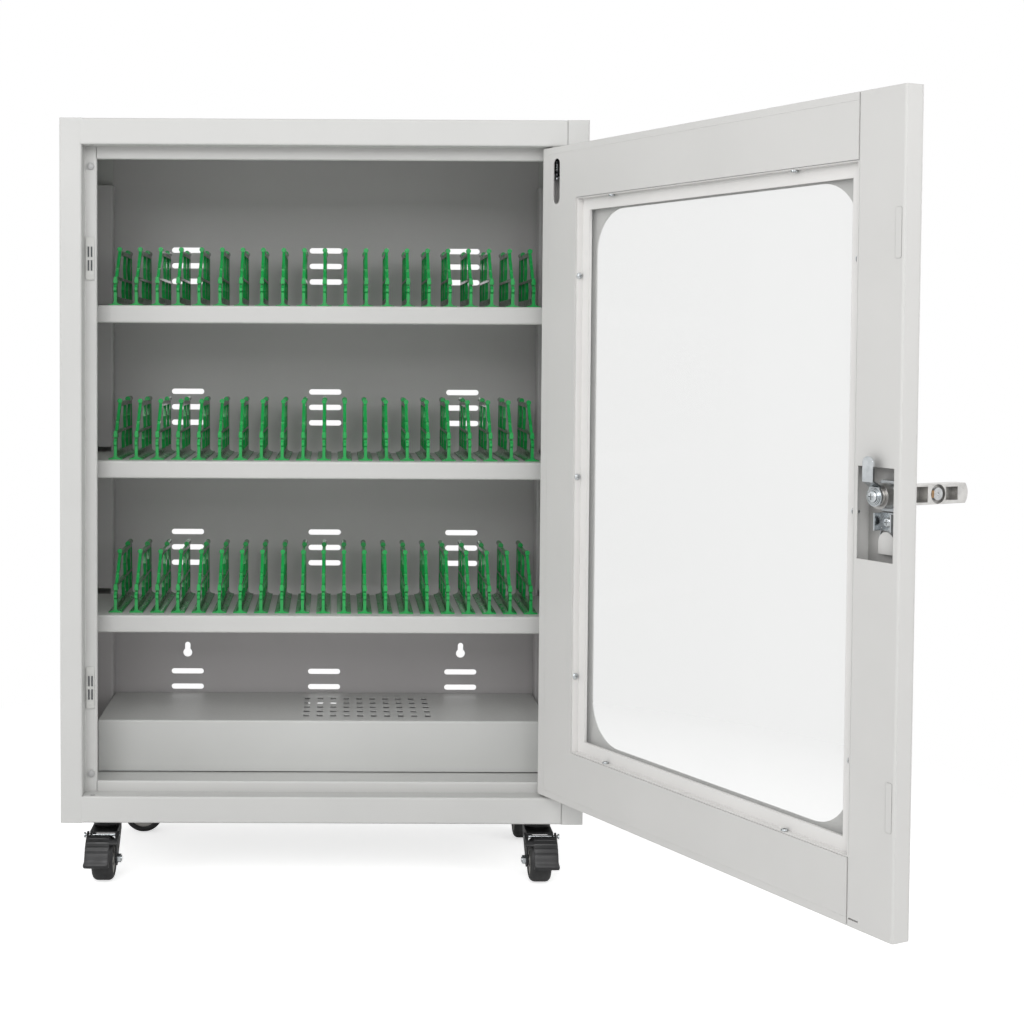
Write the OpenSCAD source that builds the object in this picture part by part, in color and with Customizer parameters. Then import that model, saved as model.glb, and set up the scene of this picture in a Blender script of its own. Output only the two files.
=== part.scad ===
// Phone storage cabinet in folded sheet steel, on four swivel casters, with its framed door open.
// Millimetres. X runs towards the hinge side, Y towards the back and Z up.
// The origin lies on the floor, under the middle of the cabinet.

/* [Cabinet] */
// Width of the cabinet
cab_w = 580; // [570:1:600]
// Depth of the cabinet
cab_d = 260; // [256:1:280]
// Height of the cabinet without its casters
cab_h = 778; // [770:1:790]
// Thickness of the sheet
sheet_t = 1.2; // [1:0.1:1.4]
// Inside radius of a fold
fold_r = 1; // [0.5:0.1:1.5]
// Face width of the two front stiles
stile_w = 24.5; // [24:0.5:27]
// Face height of the top rail
top_rail_h = 29; // [27:0.5:31]
// Face height of the bottom rail
bottom_rail_h = 30; // [28:0.5:32]
// Depth of the rebate that the door closes into
rebate_d = 22; // [21.8:0.1:23]
// Face width of the stop at the back of the rebate
stop_w = 13.5; // [12:0.5:14]

/* [Shelves] */
// Height of the lowest shelf above the floor of the room
shelf_low_z = 292.5; // [288:0.5:296]
// Pitch of the three shelves
shelf_pitch = 176.4; // [172:0.2:179]
// Distance of the shelf fronts behind the cabinet front
shelf_front = 60; // [56:1:64]
// Depth of a shelf
shelf_d = 165; // [160:1:166]
// Height of the front lip of a shelf
shelf_lip = 20; // [16:0.5:22]

/* [Dividers] */
// Phone slots on a shelf
slot_count = 20; // [10:1:21]
// Pitch of the slots
slot_pitch = 23.9; // [23:0.1:24.5]
// Height of a divider
div_h = 65; // [60:1:70]
// Length of a divider
div_l = 147; // [140:1:148]
// Thickness of a divider
div_t = 3.6; // [3:0.1:4]
// Width of a divider's foot
foot_w = 16; // [12:0.1:18]

/* [Power cover] */
// Height of the top of the power cover above the floor of the room
cover_z = 163; // [150:0.5:164]
// Distance of the cover's front behind the cabinet front
cover_front = 100; // [90:1:110]
// Columns of perforations
perf_cols = 10; // [4:1:12]
// Rows of perforations
perf_rows = 5; // [2:1:5]

/* [Vents] */
// Length of a vent slot
vent_l = 40.5; // [30:0.5:44]
// Height of a vent slot
vent_h = 6.7; // [5:0.1:8]
// Pitch of the vent slots in a group
vent_pitch = 19.4; // [16:0.1:21]
// Height of the lowest vent of a group above its shelf
vent_rise = 35; // [31:0.5:38]
// Distance of the side columns of vents from the middle
vent_x = 172; // [150:1:180]

/* [Door] */
// Angle at which the door stands open
door_open = 117; // [0:1:120]
// Thickness of the door
door_t = 18.5; // [18:0.1:18.6]
// Distance of the hinge axis from the door's hinge edge
hinge_inset = 8; // [8:0.1:8.4]
// Distance of the hinge axis behind the door's outer face
hinge_depth = 6; // [6:0.1:6.4]
// Width of the hinge side of the door frame
hinge_side_w = 62; // [58:1:66]
// Width of the lock side of the door frame
lock_side_w = 53.5; // [52:0.5:56]
// Corner radius of the window
window_r = 45; // [30:1:60]

/* [Lock] */
// Distance of the lock spindle from the door's hinge edge
spindle_u = 500; // [498:0.5:501]
// Height of the lock spindle above the floor of the room
spindle_z = 476; // [470:0.5:500]
// Length of the handle from its pivot
handle_l = 76; // [72:0.5:80]
// Width of the handle
handle_w = 17.5; // [17:0.1:19]
// Length of the cam from the spindle
cam_l = 34; // [32:0.5:35]

/* [Casters] */
// Height of a caster
caster_h = 70; // [68:1:74]
// Radius of a caster wheel
wheel_r = 24; // [23:0.5:24.5]
// Width of a caster wheel
wheel_w = 24; // [20:0.5:24]
// Distance of a wheel's axle behind its swivel
trail = 23; // [20:0.5:24]
// Distance of the swivels from the middle, left and right
caster_x = 244.5; // [240:0.5:255]
// Distance of the swivels from the middle, front and back
caster_y = 84; // [80:0.5:86]

/* [Hidden] */

$fn = 48;
e = 0.01;
t = sheet_t;
half_w = cab_w / 2;
half_d = cab_d / 2;
base_z = caster_h;
top_z = caster_h + cab_h;
front_y = -half_d;
inner_x = half_w - t;
rebate_x = half_w - stile_w;
stop_x = rebate_x - stop_w;
stop_y = front_y + rebate_d;
ledge_z = base_z + bottom_rail_h;
roof_z = top_z - top_rail_h;
floor_z = ledge_z + 2;
stop_top_z = ledge_z + 12;
hem = 4;

shelf_z = [for (i = [0:2]) shelf_low_z + i * shelf_pitch];
shelf_y = front_y + shelf_front;
shelf_back_y = shelf_y + shelf_d;
post_w = 25.6;
post_y = half_d - 24;
post_top_z = top_z - 51;
cable_slot = [18, 10];
vent_z = concat([for (z = shelf_z, i = [0:2]) z + vent_rise + i * vent_pitch],
                [for (i = [0:2]) 151 + i * vent_pitch]);
keyhole_z = 213.5;
keyhole_r = 5.5;
perf = [7, 10.5];
perf_pitch = [16, 23.75];
perf_x = 52;
perf_y = front_y + 175.5;
cover_x = half_w - 28;

div_y = shelf_y + 17;
div_slope = [22, 39];
div_bar = 12;
foot_edge = 1.2;
foot_rise = 3.2;

// Door leaf: u from the hinge edge, s from the outer face, z from the leaf's bottom edge
jamb_gap = 2.5;
hinge_x = rebate_x - jamb_gap - hinge_inset;
hinge_y = front_y + hinge_depth;
leaf_w = 2 * rebate_x - jamb_gap - 1.5;
leaf_z = ledge_z + 3.5;
leaf_h = roof_z - 2 - leaf_z;
lip_end = 7;
lip_hinge = 11.6;
lock_u = leaf_w - lock_side_w;
win_z0 = 58.5;
win_z1 = leaf_h - 57;
recess_d = 8.4;
bead_w = 14;
pane_t = 3;
pane_s = 4.2;
pin_r = 3;
bush_r = 4.6;
run_gap = 0.05;
guide_z = [leaf_h - 26, leaf_h - 4];
slot_u = 25.5;
slot_z = [652, 701];
slot_w = 12;
lock_z = spindle_z - leaf_z;
cut_u = [479, 520];
cut_z = [lock_z - 54.5, lock_z + 24.5];
barrel_r = 11;
spindle_r = 8;
plate_t = 3;
pivot_s = -7.8;
wall = 2;
tongue_r = 4.2;
cyl_l = 41;
key_t = 2;
bow_l = 20;
bow_w = 18.6;
bow_round = 3.5;
ring_r = 6.5;
ring_z = -4.3;
key_s = pivot_s - cyl_l;
bow_x = -28;
magnet_z = [217, 695.6];
magnet_x = -(rebate_x - 6);
bumper_z = [120, 797.5];

fork_in = wheel_w / 2 + 1;
fork_t = 2;
crown_z = 56;
race_r = 15;
king_r = 4;
axle_r = 3;
plate_half = 21;
pedal_pin = [-26, 51];

// Direction of a vector
function unit(v) = v / norm(v);
// A vector turned a quarter turn to the left
function left(v) = [-v[1], v[0]];
// A vector turned by an angle
function turned(v, a) = [v[0] * cos(a) - v[1] * sin(a), v[0] * sin(a) + v[1] * cos(a)];
// Points of one side of a fold: an arc about the fold's centre, from leg to leg
function fold(p, i, side, n = 3) =
    let (a = unit(p[i] - p[i - 1]), b = unit(p[i + 1] - p[i]),
         ang = atan2(a[0] * b[1] - a[1] * b[0], a * b), s = sign(ang),
         mid = fold_r + t / 2, centre = p[i] - a * mid * tan(abs(ang) / 2) + s * mid * left(a),
         r = mid - s * side * t / 2)
    [for (k = [0:n]) centre + r * turned(-s * left(a), ang * k / n)];
// One side of a folded sheet, half its thickness off the path
function sheet_side(p, side) =
    let (n = len(p) - 1, a = left(unit(p[1] - p[0])), b = left(unit(p[n] - p[n - 1])))
    concat([p[0] + side * a * t / 2], [for (i = [1:n - 1]) each fold(p, i, side)],
           [p[n] + side * b * t / 2]);
function reversed(l) = [for (i = [len(l) - 1:-1:0]) l[i]];

// Section of a folded sheet along a path through the middle of the sheet
module sheet_section(p) {
    polygon(concat(sheet_side(p, 1), reversed(sheet_side(p, -1))));
}
// A section in Y and Z, run along X between two places
module run_x(x0, x1) {
    translate([x0, 0, 0]) rotate([90, 0, 90]) linear_extrude(x1 - x0) children();
}
// A section in X and Z, run along Y between two places
module run_y(y0, y1) {
    translate([0, y1, 0]) rotate([90, 0, 0]) linear_extrude(y1 - y0) children();
}
// A box between two corners
module block(a, b) {
    translate(a) cube(b - a);
}
// A flat oblong with round ends, l long in X and h high in Y
module oblong(l, h) {
    square([l - h, h], center = true);
    for (s = [-1, 1]) translate([s * (l - h) / 2, 0]) circle(h / 2);
}
// A rounded rectangle centred on the origin
module round_rect(w, h, r) {
    square([w - 2 * r, h], center = true);
    square([w, h - 2 * r], center = true);
    for (x = [-1, 1], y = [-1, 1]) translate([x * (w / 2 - r), y * (h / 2 - r)]) circle(r);
}
// A cylinder along Y from y0 to y1
module rod_y(r, y0, y1) {
    translate([0, y1, 0]) rotate([90, 0, 0]) cylinder(r = r, h = y1 - y0);
}
// A cylinder along X from x0 to x1
module rod_x(r, x0, x1) {
    translate([x0, 0, 0]) rotate([0, 90, 0]) cylinder(r = r, h = x1 - x0);
}

// ---- Cabinet ----

// Right side: rear flange, wall, front stile, rebate and stop folded from one sheet
module side_panel() {
    path = [[rebate_x, half_d - 1.5 * t], [half_w - t / 2, half_d - 1.5 * t],
            [half_w - t / 2, front_y + t / 2], [rebate_x + t / 2, front_y + t / 2],
            [rebate_x + t / 2, stop_y + t / 2], [stop_x + t / 2, stop_y + t / 2],
            [stop_x + t / 2, stop_y + hem]];
    color("gainsboro") difference() {
        translate([0, 0, base_z]) linear_extrude(cab_h) sheet_section(path);
        for (z = [[base_z - e, ledge_z], [roof_z, top_z + e]])
            block([stop_x - e, front_y + t + fold_r, z[0]], [inner_x - fold_r, stop_y + hem + e, z[1]]);
        for (z = [base_z - e, top_z - t])
            block([rebate_x - e, front_y + t + fold_r, z], [inner_x + e, half_d, z + t + e]);
    }
}
module right_side_panel() { side_panel(); }
module left_side_panel() { mirror([1, 0, 0]) side_panel(); }

// Top sheet, the top rail and its rebate, with the pivot holes for either hand
module top_panel() {
    path = [[front_y + 30, top_z - t / 2], [front_y + t / 2, top_z - t / 2],
            [front_y + t / 2, roof_z + t / 2], [stop_y + t / 2, roof_z + t / 2]];
    stop_path = [[stop_y + t / 2, roof_z], [stop_y + t / 2, roof_z - stop_w + t / 2],
                 [stop_y + hem, roof_z - stop_w + t / 2]];
    color("gainsboro") difference() {
        union() {
            run_x(-rebate_x, rebate_x) sheet_section(path);
            run_x(-stop_x, stop_x) sheet_section(stop_path);
            block([-inner_x, front_y + t + fold_r, top_z - t], [inner_x, half_d - t, top_z]);
        }
        for (s = [-1, 1]) translate([s * hinge_x, hinge_y, roof_z - e])
            cylinder(r = s > 0 ? bush_r : pin_r, h = t + 2 * e);
    }
}

// Bottom sheet, the bottom rail and its ledge, with the pivot holes for either hand
module bottom_panel() {
    path = [[front_y + 30, base_z + t / 2], [front_y + t / 2, base_z + t / 2],
            [front_y + t / 2, ledge_z - t / 2], [stop_y + t / 2, ledge_z - t / 2]];
    stop_path = [[stop_y + t / 2, ledge_z - t], [stop_y + t / 2, stop_top_z - t / 2],
                 [stop_y + hem, stop_top_z - t / 2]];
    color("gainsboro") difference() {
        union() {
            run_x(-rebate_x, rebate_x) sheet_section(path);
            run_x(-stop_x, stop_x) sheet_section(stop_path);
            block([-inner_x, front_y + t + fold_r, base_z], [inner_x, half_d - t, base_z + t]);
        }
        for (s = [-1, 1]) translate([s * hinge_x, hinge_y, ledge_z - t - e])
            cylinder(r = s > 0 ? bush_r : pin_r, h = t + 2 * e);
        at_casters() {
            translate([0, 0, base_z - e]) cylinder(r = king_r + 1, h = t + 2 * e);
            caster_bolt_places() translate([0, 0, base_z - e]) cylinder(r = 2.5, h = t + 2 * e);
        }
    }
}

// Inner floor behind the bottom stop, its front and back edges folded down
module floor_panel() {
    path = [[stop_y + 1.5 * t, base_z + t], [stop_y + 1.5 * t, floor_z - t / 2],
            [half_d - 2.5 * t, floor_z - t / 2], [half_d - 2.5 * t, base_z + t]];
    color("gainsboro") difference() {
        run_x(-inner_x, inner_x) sheet_section(path);
        for (s = [-1, 1]) translate([s * inner_x, stop_y, base_z])
            cube([2 * (inner_x - stop_x + 0.3), 2 * hem + 4, 200], center = true);
    }
}

// Back sheet with its groups of vent slots and the two keyholes
module back_panel() {
    color("silver") translate([0, half_d, 0]) rotate([90, 0, 0]) linear_extrude(t) difference() {
        translate([-half_w, base_z]) square([cab_w, cab_h]);
        for (x = [-vent_x, 0, vent_x], z = vent_z) translate([x, z]) oblong(vent_l, vent_h);
        for (x = [-vent_x, vent_x]) translate([x, keyhole_z]) {
            circle(keyhole_r);
            translate([0, 5]) rotate(90) oblong(16.5, vent_h);
        }
    }
}

// Channel-shaped uprights in the two rear corners, with a cable slot at each shelf
module rear_posts() {
    x_in = inner_x - post_w;
    path = [[inner_x, post_y + t / 2], [x_in + t / 2, post_y + t / 2],
            [x_in + t / 2, half_d - t]];
    color("silver") for (s = [0, 1]) mirror([s, 0, 0]) difference() {
        translate([0, 0, floor_z]) linear_extrude(post_top_z - floor_z) sheet_section(path);
        for (z = shelf_z) translate([inner_x - 14, 0, z])
            run_y(post_y - e, post_y + t + e) round_rect(cable_slot[0], cable_slot[1], 1.5);
    }
}

// A shelf: a tray whose front, back and ends are folded down
module shelf(z) {
    path = [[shelf_y + 9, z - shelf_lip + t / 2], [shelf_y + t / 2, z - shelf_lip + t / 2],
            [shelf_y + t / 2, z - t / 2], [shelf_back_y - t / 2, z - t / 2],
            [shelf_back_y - t / 2, z - 12]];
    end_x = inner_x;
    color("gainsboro") {
        run_x(-end_x, end_x) sheet_section(path);
        for (s = [0, 1]) mirror([s, 0, 0])
            block([end_x - t, shelf_y + 12, z - 15], [end_x, shelf_back_y - 4, z - t / 2]);
    }
}
module shelf_upper() { shelf(shelf_z[2]); }
module shelf_middle() { shelf(shelf_z[1]); }
module shelf_lower() { shelf(shelf_z[0]); }

// Angle brackets that carry the shelf ends
module shelf_brackets() {
    x_out = inner_x - t;
    color("silver") for (z = shelf_z, s = [0, 1]) mirror([s, 0, 0])
        run_y(shelf_y + 25, shelf_back_y - 22) sheet_section(
            [[x_out - 13, z - t * 1.5], [x_out - t / 2, z - t * 1.5], [x_out - t / 2, z - 14]]);
}

// Half of a divider's foot, from the web out to its thin edge, with a concave rise
function foot_side(s) = [for (k = [0:4])
    let (a = 22.5 * k, run = (foot_w - div_t) / 2)
    [s * (div_t / 2 + run * (1 - cos(a))), foot_edge + foot_rise * (1 - sin(a))]];

// How far the raked front edge of a divider lies behind its foot at height h
function rake(h) = max(0, h - div_slope[0]) * div_slope[1] / (div_h - 3 - div_slope[0]);

// One divider: an open web with pointed bars, a raked front edge, a flared foot and cleats
module divider() {
    profile = [[0, 0], [0, 15.5], [-2.6, 17.2], [-2.6, 20.6], [0, 22.4], [1, 24],
               [5, 24.4], [5, 25.8], [rake(25.8) - 2.6, 25.8], [rake(33), 33],
               [rake(41), 41], [rake(43) - 2.2, 42.4], [rake(43) - 2.2, 43.6], [rake(45), 45],
               [rake(div_h - 3), div_h - 3], [rake(div_h - 3) + 2, div_h],
               [div_l - 6, div_h], [div_l, 0]];
    upper = [[rake(33) + 5, 33], [rake(60) + 5, 60], [div_l - 8.6, 60], [div_l - 6.4, 33]];
    lower = [[8, 10], [8, 24], [rake(30) + 7, 30], [div_l - 6, 30], [div_l - 4, 10]];
    bars = [[88, 46.5, 28], [127, 46.5, 28], [73, 20, 21], [110, 20, 21], [div_l - 4, 20, 21]];
    translate([0, div_y, 0]) {
        run_x(-div_t / 2, div_t / 2) {
            difference() {
                polygon(profile);
                polygon(upper);
                polygon(lower);
            }
            for (b = bars) translate([b[0], b[1]]) pointed_bar(b[2]);
        }
        translate([0, rake(25.8) - 2.6, 0]) run_y(0, 9) polygon([[-2.6, 25.8], [2.6, 25.8],
            [div_t / 2, 33], [-div_t / 2, 33]]);
        run_y(0, div_l) polygon(concat([[-foot_w / 2, 0]], reversed(foot_side(-1)),
            foot_side(1), [[foot_w / 2, 0]]));
        translate([0, div_slope[1], div_h + 1.2]) rod_y(2.8, 0, 5);
        translate([0, div_l - 34, div_h + 1.2]) difference() {
            rod_y(3, 0, 28);
            rod_y(1.5, 8, 28 + e);
        }
    }
}
// Upright bar across a window h high, narrow at both ends and wide at the middle
module pointed_bar(h) {
    polygon([[-1.2, -h / 2], [-div_bar / 2, 0], [-1.2, h / 2],
             [1.2, h / 2], [div_bar / 2, 0], [1.2, -h / 2]]);
}

module dividers(z) {
    color([0.05, 0.55, 0.2]) for (i = [0:slot_count])
        translate([(i - slot_count / 2) * slot_pitch, 0, z]) divider();
}
module dividers_upper() { dividers(shelf_z[2]); }
module dividers_middle() { dividers(shelf_z[1]); }
module dividers_lower() { dividers(shelf_z[0]); }

// Cover over the sockets, with a perforated patch in its top
module power_cover() {
    y0 = front_y + cover_front;
    path = [[y0 + t / 2, floor_z + 1.2], [y0 + t / 2, cover_z - t / 2],
            [half_d - 2 * t, cover_z - t / 2]];
    color("gainsboro") difference() {
        union() {
            run_x(-cover_x, cover_x) sheet_section(path);
            for (s = [0, 1]) mirror([s, 0, 0])
                block([cover_x - t, y0 + 3, floor_z], [cover_x, half_d - 2 * t, cover_z - t / 2]);
        }
        for (i = [0:perf_cols - 1], j = [0:perf_rows - 1])
            translate([perf_x + (i - (perf_cols - 1) / 2) * perf_pitch[0],
                       perf_y + (j - (perf_rows - 1) / 2) * perf_pitch[1], cover_z - t / 2])
                cube([perf[0], perf[1], 2 * t], center = true);
    }
}

// Soft domed bumpers on the stop
module door_bumpers() {
    color("gray") for (z = bumper_z) translate([-(rebate_x - stop_w / 2), stop_y, z])
        rotate([90, 0, 0]) rotate_extrude() intersection() {
            translate([0, -4.2]) circle(7.2);
            square([3.9, 3]);
        }
}

// Magnetic catches on the stop: a thin housing with two pairs of pole strips
module catch_bodies() {
    color("silver") for (z = magnet_z) difference() {
        translate([magnet_x, stop_y, z]) rotate([90, 0, 0])
            linear_extrude(1.6) round_rect(9, 47, 2);
        catch_poles(z, 0);
    }
}
module catch_magnets() {
    color("dimgray") for (z = magnet_z) catch_poles(z, 0);
}
module catch_poles(z, gap) {
    for (dz = [-7.5, 7.5], dx = [-1.6, 1.9]) translate([magnet_x + dx, stop_y, z + dz])
        rotate([90, 0, 0]) linear_extrude(2.2 + gap) square([1.6, 11.5], center = true);
}

// Flanged bushes that the two hinge pins turn in
module hinge_bushes() {
    color("ivory") translate([hinge_x, hinge_y, 0]) {
        difference() {
            union() {
                translate([0, 0, ledge_z - 12]) cylinder(r = bush_r, h = 12);
                translate([0, 0, ledge_z]) cylinder(r = 6, h = 3.2);
            }
            translate([0, 0, ledge_z - 13]) cylinder(r = pin_r + run_gap, h = 20);
        }
        difference() {
            union() {
                translate([0, 0, roof_z]) cylinder(r = bush_r, h = 7);
                translate([0, 0, roof_z - 1]) cylinder(r = 6, h = 1);
            }
            translate([0, 0, roof_z - 2]) cylinder(r = pin_r + run_gap, h = 20);
        }
    }
}

// ---- Casters ----

// Places of the swivels: side, front or back, and the heading of the wheel
headings = [[-1, -1, 0], [1, -1, 0], [-1, 1, 90], [1, 1, 0]];
module at_casters() {
    for (h = headings) translate([h[0] * caster_x, h[1] * caster_y, 0]) children();
}
module at_caster(i) {
    translate([headings[i][0] * caster_x, headings[i][1] * caster_y, 0])
        rotate(headings[i][2]) children();
}
module caster_bolt_places() {
    for (x = [-1, 1], y = [-1, 1]) translate([x * 15.5, y * 15.5, 0]) children();
}
module caster_plates() {
    color("dimgray") at_casters() difference() {
        translate([0, 0, base_z - 2.5]) linear_extrude(2.5)
            round_rect(2 * plate_half, 2 * plate_half, 5);
        translate([0, 0, base_z - 3]) cylinder(r = king_r + run_gap, h = 4);
        caster_bolt_places() translate([0, 0, base_z - 3]) cylinder(r = 2.5, h = 4);
    }
}
module caster_bolts() {
    color("silver") at_casters() caster_bolt_places() translate([0, 0, base_z]) {
        translate([0, 0, -4.7]) rotate_extrude() polygon([[0, 0], [2.4, 0], [4.2, 1.2],
            [4.2, 2.2], [0, 2.2]]);
        translate([0, 0, -3]) cylinder(r = 2.5, h = 8);
        translate([0, 0, t]) cylinder(r = 4.4, h = 3.4, $fn = 6);
    }
}

// Fork: ball race, crown and two legs down to the axle
module fork(pedal = false) {
    leg = [[-trail - 8, wheel_r], [-trail - 8, wheel_r + 4], [-29, crown_z], [13, crown_z],
           [12, crown_z - 8], [-trail + 8, wheel_r]];
    color("dimgray") difference() {
        union() {
            translate([0, 0, crown_z]) rotate_extrude() polygon([[0, 0], [13, 0], [race_r, 2],
                [race_r, caster_h - crown_z - 5], [race_r - 1.5, caster_h - crown_z - 2.9],
                [0, caster_h - crown_z - 2.9]]);
            translate([0, 0, crown_z]) cylinder(r = king_r, h = caster_h - crown_z + 0.5);
            block([-fork_in - fork_t, -29, crown_z - fork_t], [fork_in + fork_t, 13, crown_z]);
            for (s = [-1, 1]) translate([s > 0 ? fork_in : -fork_in - fork_t, 0, 0]) {
                run_x(0, fork_t) polygon(leg);
                translate([0, -trail, wheel_r]) rod_x(8, 0, fork_t);
            }
        }
        translate([0, -trail, wheel_r]) rod_x(axle_r, -fork_in - 5, fork_in + 5);
        if (pedal) translate([0, pedal_pin[0], pedal_pin[1]]) rod_x(1.5, -fork_in - 5, fork_in + 5);
    }
}
module axle(pedal = false) {
    out = fork_in + fork_t;
    color("silver") {
        translate([0, -trail, wheel_r]) {
            rod_x(axle_r, -out, out + 5);
            translate([-out - 3.5, 0, 0]) rotate([0, 90, 0]) cylinder(r = 5, h = 3.5, $fn = 6);
            translate([out, 0, 0]) rotate([0, 90, 0]) cylinder(r = 5, h = 4, $fn = 6);
        }
        if (pedal) translate([0, pedal_pin[0], pedal_pin[1]]) {
            rod_x(1.5, -out - 7, out + 3);
            rod_x(3, -out - 7, -out - 5.4);
        }
    }
}
// Wheel: a round tread on a dished centre
module wheel() {
    w = wheel_w / 2;
    tread = [[axle_r + run_gap, -w], [8, -w], [9, -w + 4], [17, -w + 4], [18, -w], [22, -w],
             [wheel_r - 0.8, -w + 3.5], [wheel_r, -w + 7], [wheel_r, w - 7],
             [wheel_r - 0.8, w - 3.5], [22, w], [18, w], [17, w - 4], [9, w - 4], [8, w],
             [axle_r + run_gap, w]];
    color([0.1, 0.1, 0.1]) translate([0, -trail, wheel_r]) rotate([0, 90, 0])
        rotate_extrude($fn = 64) polygon(tread);
}
// Brake pedal: a ribbed hood in front of the wheel, hung by two ears on a pin through the fork
module brake() {
    out = fork_in + fork_t;
    hood = concat([for (k = [0:7]) hood_point(31, 178 - 9.4 * k)],
                  [for (k = [7:-1:0]) hood_point(27.2, 178 - 9.4 * k)]);
    color([0.1, 0.1, 0.1]) {
        run_x(-out - 3.5, 9) polygon(hood);
        for (k = [2:6]) let (c = hood_point(31, 170 - 9.4 * k))
            translate([0, c[0], c[1]]) rod_x(1, -out - 2, 8);
        translate([0, -trail - 29.2, wheel_r + 0.8]) rod_x(3.2, -out - 4.5, -out + 8);
        translate([0, -trail - 29.2, wheel_r + 0.8]) rod_x(2, -out - 4.5, 9);
        run_x(8, out + 2.3) polygon(concat([for (k = [4:7]) hood_point(31, 178 - 9.4 * k)],
            [for (k = [7:-1:4]) hood_point(28.5, 178 - 9.4 * k)]));
        for (x = [-out - 3.5, out + 0.5]) pedal_ear(x, 1.8);
    }
}
function hood_point(r, a) = [-trail + r * cos(a), wheel_r + r * sin(a)];
module pedal_ear(x, w) {
    difference() {
        union() {
            run_x(x, x + w) polygon([hood_point(28, 112.5), hood_point(31, 112.5),
                [pedal_pin[0] + 3, pedal_pin[1] + 3], [pedal_pin[0] + 3, pedal_pin[1] - 3],
                hood_point(28, 140), hood_point(30, 140)]);
            translate([0, pedal_pin[0], pedal_pin[1]]) rod_x(4.2, x, x + w);
        }
        translate([0, pedal_pin[0], pedal_pin[1]]) rod_x(1.5 + run_gap, x - 1, x + w + 1);
    }
}
module fork_front_left() { at_caster(0) fork(true); }
module fork_front_right() { at_caster(1) mirror([1, 0, 0]) fork(true); }
module fork_rear_left() { at_caster(2) fork(); }
module fork_rear_right() { at_caster(3) fork(); }
module axle_front_left() { at_caster(0) axle(true); }
module axle_front_right() { at_caster(1) mirror([1, 0, 0]) axle(true); }
module axle_rear_left() { at_caster(2) axle(); }
module axle_rear_right() { at_caster(3) axle(); }
module wheel_front_left() { at_caster(0) wheel(); }
module wheel_front_right() { at_caster(1) wheel(); }
module wheel_rear_left() { at_caster(2) wheel(); }
module wheel_rear_right() { at_caster(3) wheel(); }
module brake_front_left() { at_caster(0) brake(); }
module brake_front_right() { at_caster(1) mirror([1, 0, 0]) brake(); }

// ---- Door ----

// Carries a piece from the leaf's own place to where the open door stands
module leaf() {
    translate([hinge_x, hinge_y, 0]) rotate(door_open)
        translate([hinge_inset, -hinge_depth, leaf_z]) mirror([1, 0, 0]) children();
}
// An upright section in u and s, run from z0 to z1
module upright(z0, z1) {
    translate([0, 0, z0]) linear_extrude(z1 - z0) children();
}
// A flat shape in u and z, laid between two depths
module slab(s0, s1) {
    translate([0, s1, 0]) rotate([90, 0, 0]) linear_extrude(s1 - s0) children();
}

win_w = lock_u - hinge_side_w;
win_h = win_z1 - win_z0;
win_mid = [hinge_side_w + win_w / 2, win_z0 + win_h / 2];
opening = [win_w - 2 * bead_w - 2, win_h - 2 * bead_w - 2];

// Outer skin: a shallow pan with its edges folded round to the inside
module door_skin() {
    color("gainsboro") leaf() difference() {
        block([0, 0, 0], [leaf_w, door_t, leaf_h]);
        block([t, t, t], [leaf_w + e, door_t - t, leaf_h - t]);
        block([lip_hinge, t, lip_end], [leaf_w + e, door_t + e, leaf_h - lip_end]);
        block([lock_u, t, -e], [leaf_w + e, door_t + e, leaf_h + e]);
        slab(-e, t + e) translate(win_mid) round_rect(opening[0], opening[1], window_r);
        translate([spindle_u, 0, lock_z]) rod_y(barrel_r, -e, t + e);
        translate([spindle_u, 0, lock_z - cyl_l]) rod_y(7.6, -e, t + e);
        translate([hinge_inset, hinge_depth, -e]) cylinder(r = pin_r, h = t + 2 * e);
        translate([hinge_inset, hinge_depth, leaf_h - t - e])
            cylinder(r = pin_r + run_gap, h = t + 2 * e);
    }
}

// Inner panel: three sides of a frame, folded in round the window recess
module door_inner_panel() {
    in_s = door_t - recess_d - 2;
    color("gainsboro") leaf() difference() {
        union() {
            block([lip_hinge, door_t - t, lip_end], [lock_u, door_t, leaf_h - lip_end]);
            block([hinge_side_w - t, in_s, win_z0 - t], [lock_u, door_t - e, win_z1 + t]);
        }
        block([hinge_side_w, in_s - e, win_z0], [lock_u + e, door_t + e, win_z1]);
        slab(door_t - 2 * t, door_t + e) translate([slot_u, (slot_z[0] + slot_z[1]) / 2])
            rotate(90) oblong(slot_z[1] - slot_z[0], slot_w);
        glazing_screw_places() rod_y(1.5, -e, 5);
    }
}

// Lock stile: a channel closing the free edge, cut out behind the lock
module door_lock_stile() {
    path = [[lock_u + t / 2, t + 0.2], [lock_u + t / 2, door_t - t / 2],
            [leaf_w - t / 2, door_t - t / 2], [leaf_w - t / 2, t]];
    color("gainsboro") leaf() difference() {
        upright(0, leaf_h) sheet_section(path);
        block([cut_u[0], door_t - 2 * t, cut_z[0]], [cut_u[1], door_t + e, cut_z[1]]);
        block([lock_u + 3, door_t - 2 * t, 6], [lock_u + 14, door_t + e, 7.4]);
        glazing_screw_places() rod_y(1.5, -e, 5);
    }
}

// Frame that holds the pane: it lines the recess and turns in over the glass
module glazing_frame() {
    o = [win_w, win_h];
    i = o - 2 * [bead_w, bead_w];
    color("whitesmoke") leaf() difference() {
        union() {
            slab(door_t - recess_d - t, door_t - 1.5) frame_ring(o - [0.4, 0.4], o - [0.4, 0.4] - 2 * [t, t]);
            slab(door_t - recess_d - t, door_t - recess_d) frame_ring(o - [0.4, 0.4], i);
            slab(pane_s + pane_t, door_t - recess_d) frame_ring(i + 2 * [t, t], i);
        }
        glazing_screw_places() rod_y(1.5, -e, 5);
    }
}
module frame_ring(outer, inner) {
    translate(win_mid) difference() {
        square(outer, center = true);
        square(inner, center = true);
    }
}

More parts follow.
